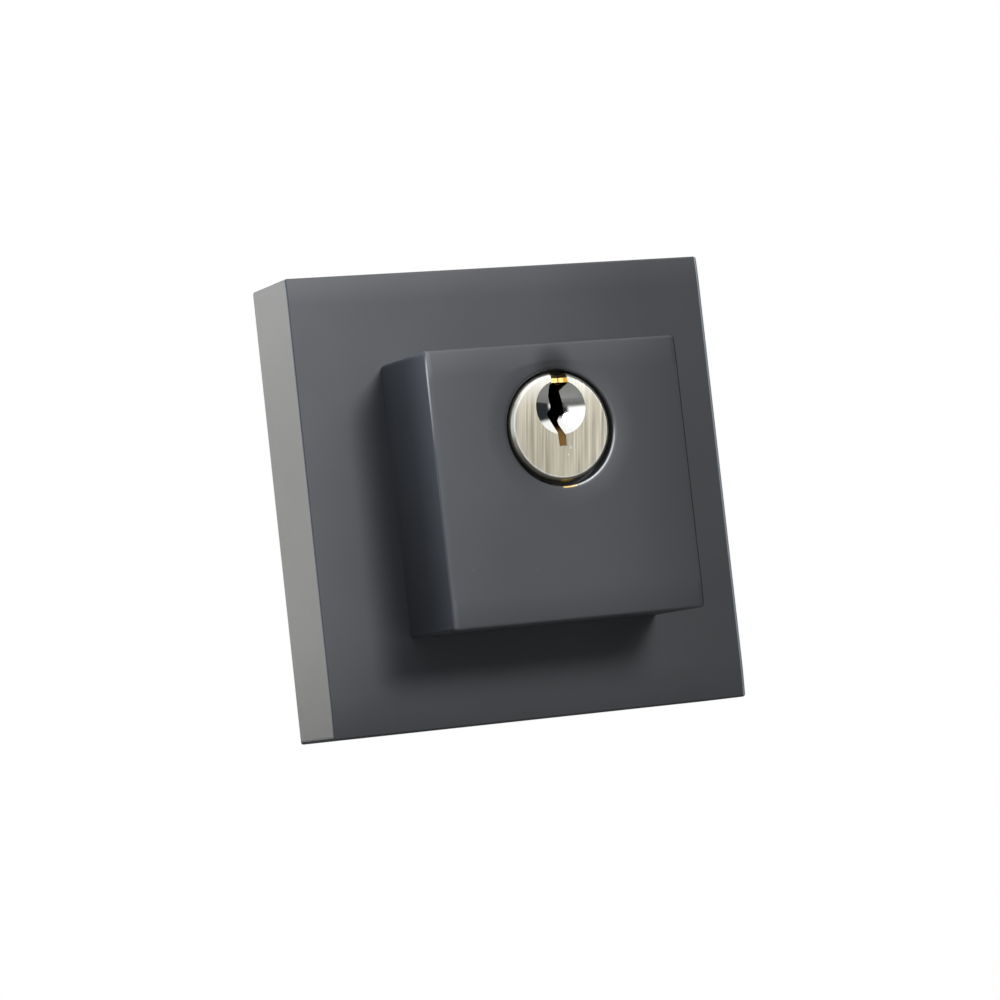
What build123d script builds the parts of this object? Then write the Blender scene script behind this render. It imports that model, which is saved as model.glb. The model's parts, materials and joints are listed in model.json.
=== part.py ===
from build123d import *
import math
import os

# Sizes are in millimetres. X runs to the right as seen from outside the door, Y runs into the
# door and Z is up. The origin is where the plug's axis meets the face of the door.

# Rosette, the thick square plate that lies on the door
rosette_side = 66.7
rosette_depth = 13.3
rosette_side_wall = 4.0
rosette_front_wall = 3.0
rosette_corner_radius = 0.4
rosette_edge_radius = 0.35
rosette_pocket_corner = 2.0
rosette_drop = 7.75  # how far the middle of the rosette and block lies below the plug's axis

# Weather seal, a square cord in the rosette's back rim
seal_width = 1.5
seal_depth = 1.3
seal_inset = 1.25
seal_gap = 0.02
seal_corner_radius = 0.8

# Block, the small square housing in front of the rosette
block_side = 39.8
block_height = 16.0
block_corner_radius = 0.4
block_edge_radius = 0.3
block_front_wall = 3.2
ring_hole_radius = 8.4
ring_hole_drop = 0.15  # the gap round the plug is a little wider below it
ring_hole_depth = 2.6
plug_hole_gap = 0.15
ring_hole_chamfer = 0.25

# Cylinder shell
shell_barrel_radius = 8.3
shell_collar_radius = 9.8
shell_collar_thickness = 2.5
shell_flange_thickness = 2.0
shell_length = 25.0
shell_pocket_gap = 0.15
chamber_housing_width = 8.8
chamber_housing_reach = 15.8
chamber_housing_round = 0.6
cover_width = 5.6
cover_thickness = 0.8
cover_overlap = 1.2
cover_gap = 0.02

# Plug
plug_head_radius = 7.8
plug_head_proud = 0.1
plug_face_chamfer = 0.5
plug_radius = 6.5
plug_gap = 0.05
plug_end_gap = 0.05
dish_radius = 3.9
dish_depth = 0.8
dish_right = 0.32
dish_height = 2.76
keyway_length = 27.0
notch_left = -0.72
notch_right = 1.8
notch_floor = 6.3
keyway_end = -2.8  # the blade's cut edge, below the plug's axis
stop_ledge_bottom = 6.42  # a bridge over the blade, where the key's shoulder stops
stop_ledge_top = 7.06
stop_ledge_depth = 1.0
stop_ledge_length = 2.0
stop_ledge_root = 0.05

# Pin stacks, which hang below the plug
pin_count = 5
first_pin_depth = 7.2
pin_spacing = 3.96
pin_radius = 1.46
pin_gap = 0.04
shortest_key_pin = 3.9
key_cut_step = 0.6
key_cuts = (2, 5, 1, 4, 3)
key_pin_tip_chamfer = 0.7
pin_hole_top = 1.15
shear_gap = 0.05
driver_pin_length = 3.4
driver_pin_chamfer = 0.2
spring_wire = 0.25
spring_side_gap = 0.15
pin_spring_turns = 6

# Plug cap with its locking pin, and the tailpiece
spigot_radius = 4.4
spigot_length = 3.55
cap_radius = 7.3
cap_wall = 1.0
cap_thread_gap = 0.03
cap_chamfer = 0.4
cap_pin_radius = 0.7
cap_pin_offset = 5.3
cap_pin_length = 3.0
cap_pin_entry = 0.85
cap_pocket_count = 12
cap_pocket_clearance = 0.1
cap_spring_length = 3.5
cap_spring_turns = 5
cap_spring_wire = 0.18
tail_width = 6.35
tail_thickness = 1.6
tail_end = 52.0
tail_corner = 0.8
tail_head_radius = 4.2
tail_head_thickness = 1.0
tail_tongue_length = 2.0
tail_gap = 0.05
tail_window_clearance = 0.13

# Mounting plate, posts and screws
plate_thickness = 2.2
plate_edge_gap = 0.5
plate_corner_radius = 1.5
plate_window_gap = 0.15
post_spread = 15.0
post_radius = 3.5
post_end = 16.0
post_tenon_radius = 2.6
post_tenon_gap = 0.03
post_bore_radius = 1.73
post_bore_depth = 18.0
post_chamfer = 0.5
screw_offset = 14.3
screw_radius = 1.75
screw_clearance = 0.25
screw_thread_gap = 0.03
screw_grip = 9.0
screw_hole_spare = 1.0
screw_head_radius = 3.0
screw_head_height = 2.0
screw_head_round = 0.6
cross_length = 3.6
cross_width = 0.8
cross_depth = 1.2

# Places along Y that several pieces share
rosette_front = -rosette_depth
pocket_front = rosette_front + rosette_front_wall
plate_back = pocket_front + plate_thickness
block_front = rosette_front - block_height
shell_front = block_front + block_front_wall
shell_back = shell_front + shell_length
plug_face = block_front - plug_head_proud
head_back = shell_front
plug_shoulder = shell_back + plug_end_gap
plug_end = plug_shoulder + spigot_length
cap_end = plug_end + tail_head_thickness + tail_gap + cap_wall
pin_hole_radius = pin_radius + pin_gap
shell_bore_radius = plug_radius + plug_gap
driver_pin_top = -(shell_bore_radius + shear_gap)
driver_pin_foot = driver_pin_top - driver_pin_length
key_pin_foot = shear_gap - math.sqrt(plug_radius**2 - pin_radius**2)
chamber_floor = cover_thickness - chamber_housing_reach
pin_places = [plug_face + first_pin_depth + pin_spacing * i for i in range(pin_count)]
pocket_side = rosette_side - 2 * rosette_side_wall
cap_pin_nose = plug_shoulder + cap_pin_entry
cap_pin_tail = cap_pin_nose - cap_pin_length
cap_hole_end = cap_pin_tail - cap_spring_length


def prism(outline, front, back, x=0, z=0):
    plane = Plane(origin=(x, front, z), x_dir=(1, 0, 0), z_dir=(0, -1, 0))
    return extrude(plane * outline, front - back)


def rod(radius, front, back, x=0, z=0):
    return prism(Circle(radius), front, back, x, z)


def upright_rod(radius, low, high, y, x=0):
    return Pos(x, y, (low + high) / 2) * Cylinder(radius, high - low)


def round_square(side, corner, front, back):
    return prism(RectangleRounded(side, side, corner), front, back, z=-rosette_drop)


def soften_front(body, radius):
    return fillet(body.faces().sort_by(Axis.Y)[0].edges(), radius)


def end_edges(body, axis, last):
    return body.faces().sort_by(axis)[-1 if last else 0].edges()


def cylinder_outline(radius, gap=0.0):
    housing_width = chamber_housing_width + 2 * gap
    housing_reach = chamber_housing_reach + gap
    housing = Pos(0, -housing_reach / 2) * Rectangle(housing_width, housing_reach)
    return Circle(radius + gap) + housing


def screw_places():
    heights = (screw_offset - rosette_drop, -screw_offset - rosette_drop)
    return [(x, z) for x in (-screw_offset, screw_offset) for z in heights]


def seal_ring(gap):
    outer = rosette_side - 2 * seal_inset - 2 * gap
    inner = rosette_side - 2 * (seal_inset + seal_width) + 2 * gap
    ring = round_square(outer, seal_corner_radius, gap - seal_depth, 0)
    return ring - round_square(inner, seal_corner_radius, -seal_depth, 0)


def make_rosette():
    body = round_square(rosette_side, rosette_corner_radius, rosette_front, 0)
    body = soften_front(body, rosette_edge_radius)
    body -= round_square(pocket_side, rosette_pocket_corner, pocket_front, 0)
    body -= seal_ring(0)
    window = cylinder_outline(shell_collar_radius, shell_pocket_gap)
    body -= prism(window, rosette_front, pocket_front)
    for x, z in screw_places():
        body -= rod(screw_radius + screw_clearance, rosette_front, pocket_front, x, z)
    return body


def make_block():
    body = round_square(block_side, block_corner_radius, block_front, rosette_front)
    body = soften_front(body, block_edge_radius)
    body -= rod(ring_hole_radius, block_front, block_front + ring_hole_depth, z=-ring_hole_drop)
    rim = body.faces().sort_by(Axis.Y)[0].edges().filter_by(GeomType.CIRCLE)
    body = chamfer(rim.sort_by(SortBy.RADIUS)[-1], ring_hole_chamfer)
    body -= rod(plug_head_radius + plug_hole_gap, block_front + ring_hole_depth, shell_front)
    pocket = cylinder_outline(shell_collar_radius, shell_pocket_gap)
    body -= prism(pocket, shell_front, rosette_front)
    hole_end = rosette_front - screw_grip - screw_hole_spare
    for x, z in screw_places():
        body -= rod(screw_radius + screw_thread_gap, hole_end, rosette_front, x, z)
    return body


def make_mounting_plate():
    side = pocket_side - 2 * plate_edge_gap
    body = round_square(side, plate_corner_radius, pocket_front, plate_back)
    window = cylinder_outline(shell_barrel_radius, plate_window_gap)
    body -= prism(window, pocket_front, plate_back)
    for x, z in screw_places():
        body -= rod(screw_radius + screw_clearance, pocket_front, plate_back, x, z)
    for x in (-post_spread, post_spread):
        body -= rod(post_tenon_radius + post_tenon_gap, pocket_front, plate_back, x)
    return body


def make_post(x):
    body = rod(post_radius, plate_back, post_end, x)
    body = chamfer(end_edges(body, Axis.Y, True), post_chamfer)
    body += rod(post_tenon_radius, pocket_front, plate_back, x)
    body -= rod(post_bore_radius, post_end - post_bore_depth, post_end, x)
    return body


def make_screw(x, z):
    head_end = plate_back + screw_head_height
    body = rod(screw_head_radius, plate_back, head_end, x, z)
    body = fillet(end_edges(body, Axis.Y, True), screw_head_round)
    body += rod(screw_radius, rosette_front - screw_grip, plate_back, x, z)
    cross = Rectangle(cross_length, cross_width) + Rectangle(cross_width, cross_length)
    return body - prism(cross, head_end - cross_depth, head_end, x, z)


def make_shell():
    collar_back = shell_front + shell_collar_thickness
    flange_front = pocket_front - shell_flange_thickness
    body = prism(cylinder_outline(shell_barrel_radius), shell_front, shell_back)
    low_edges = body.faces().sort_by(Axis.Z)[0].edges().filter_by(Axis.Y)
    body = fillet(low_edges, chamber_housing_round)
    body += rod(shell_collar_radius, shell_front, collar_back)
    body += rod(shell_collar_radius, flange_front, pocket_front)
    body -= rod(shell_bore_radius, shell_front, shell_back)
    for y in pin_places:
        body -= upright_rod(pin_hole_radius, -chamber_housing_reach, 0, y)
    return body - cover_strip(cover_gap)


def cover_strip(gap):
    front = pin_places[0] - pin_hole_radius - cover_overlap - gap
    back = pin_places[-1] + pin_hole_radius + cover_overlap + gap
    width = cover_width + 2 * gap
    foot = Pos(0, (cover_thickness / 2) - chamber_housing_reach)
    return prism(foot * Rectangle(width, cover_thickness), front, back)


def keyway_outline():
    over_top = plug_head_radius + 1
    return [
        (notch_left, over_top),
        (notch_left, notch_floor),
        (-1.05, notch_floor - 0.2),
        (-1.25, 4.5),
        (-0.97, 3.0),
        (-1.2, 2.5),
        (-1.75, 2.05),
        (-1.6, 1.5),
        (-1.1, 0.4),
        (-0.6, -0.75),
        (-0.52, keyway_end),
        (0.6, keyway_end),
        (0.66, -1.35),
        (0.4, -0.75),
        (-0.08, 0.25),
        (-0.18, 0.9),
        (0.15, 1.45),
        (1.05, 1.8),
        (0.98, 3.25),
        (0.85, 4.0),
        (0.55, 5.15),
        (1.4, notch_floor - 0.45),
        (1.75, notch_floor - 0.25),
        (notch_right, notch_floor),
        (notch_right, over_top),
    ]


def make_plug():
    body = rod(plug_head_radius, plug_face, head_back)
    body = chamfer(end_edges(body, Axis.Y, False), plug_face_chamfer)
    body += rod(plug_radius, head_back, plug_shoulder)
    body += rod(spigot_radius, plug_shoulder, plug_end)
    ball_radius = (dish_radius**2 + dish_depth**2) / (2 * dish_depth)
    ball_place = Pos(dish_right, plug_face + dish_depth - ball_radius, dish_height)
    body -= ball_place * Sphere(ball_radius)
    keyway = make_face(Polyline(*keyway_outline(), close=True))
    body -= prism(keyway, plug_face, plug_face + keyway_length)
    ledge = Rectangle(notch_right - notch_left + 2 * stop_ledge_root, stop_ledge_top - stop_ledge_bottom)
    ledge_front = plug_face + stop_ledge_depth
    ledge_middle = ((notch_left + notch_right) / 2, (stop_ledge_bottom + stop_ledge_top) / 2)
    body += prism(ledge, ledge_front, ledge_front + stop_ledge_length, *ledge_middle)
    for y in pin_places:
        body -= upright_rod(pin_hole_radius, -plug_head_radius, pin_hole_top, y)
    body -= rod(cap_pin_radius + pin_gap, cap_hole_end, plug_shoulder, cap_pin_offset)
    tongue_slot = Rectangle(tail_thickness + 2 * tail_gap, tail_width + 2 * tail_gap)
    tongue_end = plug_end - tail_tongue_length - tail_gap
    return body - prism(tongue_slot, tongue_end, plug_end)


def key_pin_length(cut):
    return shortest_key_pin + cut * key_cut_step


def make_key_pin(cut, y):
    body = upright_rod(pin_radius, key_pin_foot, key_pin_foot + key_pin_length(cut), y)
    return chamfer(end_edges(body, Axis.Z, True), key_pin_tip_chamfer)


def make_driver_pin(y):
    body = upright_rod(pin_radius, driver_pin_foot, driver_pin_top, y)
    return chamfer(end_edges(body, Axis.Z, False), driver_pin_chamfer)


def make_spring(radius, wire, length, turns):
    rise = length - wire
    path = Helix(pitch=rise / turns, height=rise, radius=radius - wire / 2)
    start = Plane(origin=path @ 0, z_dir=path % 0)
    return sweep(start * Circle(wire / 2), path=path, is_frenet=True)


def make_pin_spring(y):
    radius = pin_radius - spring_side_gap
    length = driver_pin_foot - chamber_floor
    coil = make_spring(radius, spring_wire, length, pin_spring_turns)
    return Pos(0, y, chamber_floor + spring_wire / 2) * coil


def make_cap_spring():
    coil = make_spring(cap_pin_radius - pin_gap, cap_spring_wire, cap_spring_length, cap_spring_turns)
    return Pos(cap_pin_offset, cap_hole_end + cap_spring_wire / 2, 0) * Rot(-90, 0, 0) * coil


def make_plug_cap():
    body = rod(cap_radius, plug_shoulder, cap_end)
    body = chamfer(end_edges(body, Axis.Y, True), cap_chamfer)
    body -= rod(spigot_radius + cap_thread_gap, plug_shoulder, cap_end - cap_wall)
    window_radius = math.hypot(tail_width, tail_thickness) / 2 + tail_window_clearance
    body -= rod(window_radius, cap_end - cap_wall, cap_end)
    pocket_radius = cap_pin_radius + cap_pocket_clearance
    pocket_end = cap_pin_nose + cap_pocket_clearance
    for i in range(cap_pocket_count):
        turn = 2 * math.pi * i / cap_pocket_count
        x = cap_pin_offset * math.cos(turn)
        z = cap_pin_offset * math.sin(turn)
        body -= rod(pocket_radius, plug_shoulder, pocket_end, x, z)
    return body


def make_tailpiece():
    blade = Rectangle(tail_thickness, tail_width)
    body = prism(blade, plug_end - tail_tongue_length, tail_end)
    corners = end_edges(body, Axis.Y, True).filter_by(Axis.X)
    body = chamfer(corners, tail_corner)
    return body + rod(tail_head_radius, plug_end, plug_end + tail_head_thickness)


def print_travels():
    for i, cut in enumerate(key_cuts, 1):
        tip = key_pin_foot + key_pin_length(cut)
        print(f"key pin {i} moves in by {pin_hole_top - tip:.2f} mm,", end=" ")
        print(f"driver pin {i} moves out by {tip - keyway_end:.2f} mm")
    spring_length = driver_pin_foot - chamber_floor
    print(f"pin spring {spring_length:.2f} mm, solid at {pin_spring_turns * spring_wire:.2f} mm")


def make_nodes():
    nodes = {
        "rosette": make_rosette(),
        "cylinder_block": make_block(),
        "weather_seal": seal_ring(seal_gap),
        "mounting_plate": make_mounting_plate(),
        "post_left": make_post(-post_spread),
        "post_right": make_post(post_spread),
        "block_screws": Compound(children=[make_screw(x, z) for x, z in screw_places()]),
        "cylinder_shell": make_shell(),
        "chamber_cover": cover_strip(0),
        "plug": make_plug(),
        "plug_cap": make_plug_cap(),
        "cap_pin": rod(cap_pin_radius, cap_pin_tail, cap_pin_nose, cap_pin_offset),
        "cap_spring": make_cap_spring(),
        "tailpiece": make_tailpiece(),
    }
    for i, (cut, y) in enumerate(zip(key_cuts, pin_places), 1):
        nodes[f"key_pin_{i}"] = make_key_pin(cut, y)
        nodes[f"driver_pin_{i}"] = make_driver_pin(y)
        nodes[f"pin_spring_{i}"] = make_pin_spring(y)
    return nodes


os.makedirs("parts", exist_ok=True)
for name, shape in make_nodes().items():
    export_step(shape, f"parts/{name}.step")
print_travels()
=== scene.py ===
import json
import math
import bmesh
import bpy
from mathutils import Matrix, Vector


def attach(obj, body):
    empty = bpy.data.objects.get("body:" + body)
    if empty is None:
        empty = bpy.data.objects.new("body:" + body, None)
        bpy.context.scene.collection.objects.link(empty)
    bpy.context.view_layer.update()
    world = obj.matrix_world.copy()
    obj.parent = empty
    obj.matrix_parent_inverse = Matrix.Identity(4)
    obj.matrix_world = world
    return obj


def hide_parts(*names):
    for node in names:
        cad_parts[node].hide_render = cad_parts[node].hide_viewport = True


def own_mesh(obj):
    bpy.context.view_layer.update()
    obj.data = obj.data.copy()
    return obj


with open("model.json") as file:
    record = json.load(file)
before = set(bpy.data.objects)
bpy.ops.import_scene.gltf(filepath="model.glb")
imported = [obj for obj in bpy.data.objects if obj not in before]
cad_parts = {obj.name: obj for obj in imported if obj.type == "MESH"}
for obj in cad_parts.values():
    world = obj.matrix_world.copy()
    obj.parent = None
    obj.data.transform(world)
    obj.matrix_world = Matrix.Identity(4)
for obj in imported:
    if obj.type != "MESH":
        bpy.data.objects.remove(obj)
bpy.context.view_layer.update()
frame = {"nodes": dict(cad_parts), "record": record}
nodes = frame["nodes"]
mm = 0.001  # every piece is shaped in millimetres and brought to metres when it is finished
print("frame loaded,", len(nodes), "nodes")

# Camera, from outside, left of the lock and a little below its middle
cameraSet = {
    "place": (-0.24117, -0.53439, -0.04384),
    "turn": (93.5303, 6.2949, -24.1343),  # degrees; the middle one is the roll of the picture
    "lens": 141.18,
    "sensor": 36,
    "clipStart": 0.01,
}


def addCamera(settings):
    data = bpy.data.cameras.new("camera")
    data.lens = settings["lens"]
    data.sensor_width = settings["sensor"]
    data.clip_start = settings["clipStart"]
    item = bpy.data.objects.new("camera", data)
    item.location = settings["place"]
    item.rotation_euler = [math.radians(a) for a in settings["turn"]]
    bpy.context.collection.objects.link(item)
    bpy.context.scene.camera = item


addCamera(cameraSet)


# Node helpers, used by the room and by every material
def link(tree, value, socket):
    if isinstance(value, (int, float)):
        socket.default_value = value
    elif isinstance(value, tuple):
        socket.default_value = value if len(value) == len(socket.default_value) else (*value, 1)
    else:
        tree.links.new(value, socket)


def calc(tree, operation, *values):
    node = tree.nodes.new("ShaderNodeMath")
    node.operation = operation
    for value, socket in zip(values, node.inputs):
        link(tree, value, socket)
    return node.outputs[0]


def times(tree, first, *others):
    for value in others:
        first = calc(tree, "MULTIPLY", first, value)
    return first


def axes(tree, place):
    split = tree.nodes.new("ShaderNodeSeparateXYZ")
    tree.links.new(place, split.inputs[0])
    return split.outputs["X"], split.outputs["Y"], split.outputs["Z"]


def fromAxis(tree, x, z):  # distance from the plug's axis
    flat = tree.nodes.new("ShaderNodeCombineXYZ")
    tree.links.new(x, flat.inputs["X"])
    tree.links.new(z, flat.inputs["Z"])
    radius = tree.nodes.new("ShaderNodeVectorMath")
    radius.operation = "LENGTH"
    tree.links.new(flat.outputs[0], radius.inputs[0])
    return radius.outputs["Value"]


def spread(tree, value, low, high, fromLow=0.3, fromHigh=0.7, curve="LINEAR"):
    node = tree.nodes.new("ShaderNodeMapRange")
    node.interpolation_type = curve
    node.inputs["From Min"].default_value = fromLow
    node.inputs["From Max"].default_value = fromHigh
    node.inputs["To Min"].default_value = low
    node.inputs["To Max"].default_value = high
    link(tree, value, node.inputs["Value"])
    return node.outputs["Result"]


def band(tree, value, low, high, soft):
    rise = spread(tree, value, 0, 1, low - soft, low + soft, "SMOOTHSTEP")
    fall = spread(tree, value, 1, 0, high - soft, high + soft, "SMOOTHSTEP")
    return times(tree, rise, fall)


def cameraSwitch(tree, unseen, seen, out):  # the camera meets one shader, and light meets the other
    path = tree.nodes.new("ShaderNodeLightPath")
    mix = tree.nodes.new("ShaderNodeMixShader")
    tree.links.new(path.outputs["Is Camera Ray"], mix.inputs[0])
    tree.links.new(unseen.outputs[0], mix.inputs[1])
    tree.links.new(seen.outputs[0], mix.inputs[2])
    tree.links.new(mix.outputs[0], out.inputs["Surface"])


# Studio: a key light high on the right, white windows round a dark place on the right in front
studioSet = {
    "keyToward": (3.35, -15.9, 6.9),  # from the lock to the light, read off the block's shadow
    "keyDistance": 1.1,
    "keySize": 0.34,
    "keyPower": 3.55,
    "floorHeight": -0.16,
    "floorSide": 6.0,
    "floorGrey": 0.18,
    "dimLight": (0.0255, 0.03, 0.036),  # where no window is
    "softness": 3.0,  # degrees, at the windows' edges
    "windows": {  # strength, colour, then the bearing from and to, the height from and to, in degrees
        "softbox": (1.2, (1, 1, 1.02), -22, 9, 4.5, 58),
        "lowFront": (0.14, (1, 1, 0.95), -22, 16, -4, 4.5),
        "leftWindow": (0.95, (0.9, 1, 1.15), -72, -22, -4, 58),
        "rightWindow": (1.05, (0.98, 1, 1.02), 9, 80, 20, 58),
        "topWindow": (1.75, (1, 1, 1), -190, 190, 58, 95),
        "slimGap": (0.9, (1, 1, 1), 38, 44, -3, 5),
        "farLeft": (1.75, (0.9, 1, 1.15), -122, -72, -5, 24),
        "leftBehind": (3.25, (0.92, 1, 1.12), -150, -122, -5, 58),
        "behind": (2.0, (1.08, 1.02, 0.84), -200, -150, -5, 58),
    },
}


def addKeyLight(settings):
    data = bpy.data.lights.new("keyLight", "AREA")
    data.shape = "DISK"
    data.size = settings["keySize"]
    data.energy = settings["keyPower"]
    item = bpy.data.objects.new("keyLight", data)
    toward = Vector(settings["keyToward"]).normalized()
    item.location = toward * settings["keyDistance"]
    item.rotation_euler = toward.to_track_quat("Z", "Y").to_euler()
    bpy.context.collection.objects.link(item)


def addRoom(settings):
    world = bpy.data.worlds.new("room")
    bpy.context.scene.world = world
    world.use_nodes = True
    tree = world.node_tree
    tree.nodes.clear()
    out = tree.nodes.new("ShaderNodeOutputWorld")
    coord = tree.nodes.new("ShaderNodeTexCoord")
    x, y, z = axes(tree, coord.outputs["Generated"])
    bearing = calc(tree, "DEGREES", calc(tree, "ARCTAN2", x, times(tree, y, -1.0)))
    height = calc(tree, "DEGREES", calc(tree, "ARCSINE", z))
    light = settings["dimLight"]
    for name, (strength, color, left, right, low, high) in settings["windows"].items():
        across = band(tree, bearing, left, right, settings["softness"])
        upright = band(tree, height, low, high, settings["softness"])
        add = tree.nodes.new("ShaderNodeVectorMath")
        add.operation = "MULTIPLY_ADD"
        add.name = name
        for value, socket in zip((color, times(tree, across, upright, strength), light), add.inputs):
            link(tree, value, socket)
        light = add.outputs[0]
    lit = tree.nodes.new("ShaderNodeBackground")
    tree.links.new(light, lit.inputs["Color"])
    white = tree.nodes.new("ShaderNodeBackground")
    white.inputs["Color"].default_value = (1, 1, 1, 1)
    cameraSwitch(tree, lit, white, out)


def addFloor(settings):
    bm = bmesh.new()
    bmesh.ops.create_grid(bm, x_segments=1, y_segments=1, size=settings["floorSide"] / 2)
    bmesh.ops.translate(bm, verts=bm.verts, vec=(0, 0, settings["floorHeight"]))
    mesh = bpy.data.meshes.new("floor")
    bm.to_mesh(mesh)
    bm.free()
    item = bpy.data.objects.new("floor", mesh)
    bpy.context.collection.objects.link(item)
    mat = bpy.data.materials.new("paleFloor")
    mat.use_nodes = True
    tree = mat.node_tree
    tree.nodes.clear()
    out = tree.nodes.new("ShaderNodeOutputMaterial")
    matt = tree.nodes.new("ShaderNodeBsdfDiffuse")
    grey = settings["floorGrey"]
    matt.inputs["Color"].default_value = (grey, grey, grey, 1)
    cameraSwitch(tree, matt, tree.nodes.new("ShaderNodeEmission"), out)
    mesh.materials.append(mat)


addKeyLight(studioSet)
addRoom(studioSet)
addFloor(studioSet)
bpy.context.scene.view_settings.view_transform = "Standard"
print("camera and studio set")


# Materials. Their places and lengths are in metres, on object coordinates.
def startMaterial(name, baseColor, metallic, roughness):
    mat = bpy.data.materials.new(name)
    mat.use_nodes = True
    tree = mat.node_tree
    shader = tree.nodes["Principled BSDF"]
    shader.inputs["Base Color"].default_value = (*baseColor, 1)
    shader.inputs["Metallic"].default_value = metallic
    shader.inputs["Roughness"].default_value = roughness
    coord = tree.nodes.new("ShaderNodeTexCoord")
    return mat, tree, shader, coord.outputs["Object"]


def turned(tree, place, angle):
    node = tree.nodes.new("ShaderNodeMapping")
    node.inputs["Rotation"].default_value = (0, math.radians(angle), 0)
    tree.links.new(place, node.inputs["Vector"])
    return node.outputs[0]


def noise(tree, place, scale, detail=3.0, stretch=(1, 1, 1), shift=(0, 0, 0)):
    turn = tree.nodes.new("ShaderNodeMapping")
    turn.inputs["Scale"].default_value = stretch
    turn.inputs["Location"].default_value = shift
    tree.links.new(place, turn.inputs["Vector"])
    node = tree.nodes.new("ShaderNodeTexNoise")
    node.inputs["Scale"].default_value = scale
    node.inputs["Detail"].default_value = detail
    tree.links.new(turn.outputs[0], node.inputs["Vector"])
    return node.outputs["Fac"]


def tint(tree, fac, dark, light):
    node = tree.nodes.new("ShaderNodeMix")
    node.data_type = "RGBA"
    link(tree, dark, node.inputs[6])
    link(tree, light, node.inputs[7])
    link(tree, fac, node.inputs[0])
    return node.outputs[2]


def near(tree, place, spot, reach, soft):
    away = tree.nodes.new("ShaderNodeVectorMath")
    away.operation = "DISTANCE"
    tree.links.new(place, away.inputs[0])
    away.inputs[1].default_value = spot
    return spread(tree, away.outputs["Value"], 1, 0, reach - soft, reach + soft, "SMOOTHSTEP")


def dress(tree, shader, color, rough=None, height=None, distance=1.0):
    tree.links.new(color, shader.inputs["Base Color"])
    if rough is not None:
        tree.links.new(rough, shader.inputs["Roughness"])
    if height is not None:
        node = tree.nodes.new("ShaderNodeBump")
        node.inputs["Distance"].default_value = distance
        tree.links.new(height, node.inputs["Height"])
        tree.links.new(node.outputs[0], shader.inputs["Normal"])


# Graphite coat of rosette and block, sprayed on castings that were brushed level
coatSet = {
    "metallic": 0.72,
    "roughness": 0.416,
    "roughFromTo": (0.395, 0.437),
    "brushing": 0.62,
    "brushTurn": 0.25,
    "brushAlong": (1, 0.01),
    "cloudScale": 60,
    "grain": (6500, 2),  # scale and detail
    "grainHeight": 0.000003,
    "hue": (0.965, 0.99, 1.05),
    "darkAndLight": (0.95, 1.05),
    "speckScale": 900,
    "speckShift": (0.3, 0.1, 0.2),
    "speckFromTo": (0.79, 0.82),
    "speckShare": 0.18,
    "speckTone": (0.2, 0.205, 0.21),
    "rightPaintedShadeFromTo": (0.006, 0.024),  # painted shade, darker to the right
    "rightPaintedShade": 0.2,
    "sideDepth": 0.0002,
    "paintedLineSoft": 0.00004,
}
rosetteLook = {
    "grey": 0.109,
    "leftSide": -0.0333,
    "leftPaintedLight": (-0.02, 0.28),  # painted light: how much lighter the left side is, low down and high up
    "leftPaintedLightHeights": (0.004, 0.025),
    "paintedEdgeLine": (0.03292, 0.0333),  # painted highlight along the rounding of the right front edge
    "paintedLineShare": 0.75,
    "paintedLineTone": (0.4, 0.45, 0.49),
    "cornerPaintedShade": 0.3,  # painted shade, darker toward the lower left corner
    "cornerHeight": (-0.0415, -0.0265),
    "cornerAcross": (-0.028, 0.03),
    "cornerLeast": 0.15,
}
blockLook = {
    "grey": 0.105,
    "leftSide": -0.0199,
    # painted light and shade on the left side: darker low down, lighter high up
    "leftPaintedLight": (-0.36, 0.38),
    "leftPaintedLightHeights": (-0.024, 0.01),
    # a painted dark line along the right front edge, shade at its rounding
    "paintedEdgeLine": (0.0197, 0.01984),
    "paintedLineShare": 0.8,
    "paintedLineTone": (0, 0, 0),
}
# Marks on the block: a brass spot on the hole's rim, painted highlights and painted shade
rimPaintSet = {
    "holeDrop": 0.00015,
    "rimFromTo": (0.00862, 0.00868),  # the brass spot and the rim's painted highlight never go out on the flat front
    "brassSpot": (0.00055, -0.0291, -0.0086),
    "brassReach": (0.0011, 0.00015),  # reach and softness
    "brassTone": (0.88, 0.62, 0.18),
    # painted highlight on the hole's rim, low on the right
    "rimHighlightSpot": (0.006, -0.0292, -0.006),
    "rimHighlightReach": (0.0057, 0.0015),
    "rimHighlightDepth": (-0.02912, -0.02898),
    "rimHighlightShare": 0.45,
    "rimHighlightTone": (0.8, 0.82, 0.85),
    "shadeAboveHole": (-0.0002, -0.0293, 0.0089),  # painted shade above the hole
    "shadeAboveReach": (0.0024, 0.0016),
    "shadeAboveShare": 0.5,
    "edgeAcross": (-0.01982, -0.01966),  # painted highlight on the left front edge, brighter toward its top
    "edgeDepth": (-0.02917, -0.02909),
    "edgeHeight": (-0.003, 0.011),
    "edgeHighlightFade": 1.4,
    "edgeHighlightTone": (1, 0.97, 0.91),
}


def brushLevel(tree, shader, settings):  # the marks run straight on every side instead of round the middle
    shader.inputs["Anisotropic"].default_value = settings["brushing"]
    shader.inputs["Anisotropic Rotation"].default_value = settings["brushTurn"]
    along = tree.nodes.new("ShaderNodeCombineXYZ")
    along.inputs["X"].default_value, along.inputs["Y"].default_value = settings["brushAlong"]
    turn = tree.nodes.new("ShaderNodeVectorTransform")
    turn.vector_type = "VECTOR"
    turn.convert_from = "OBJECT"
    turn.convert_to = "WORLD"
    tree.links.new(along.outputs[0], turn.inputs[0])
    tree.links.new(turn.outputs[0], shader.inputs["Tangent"])


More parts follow.
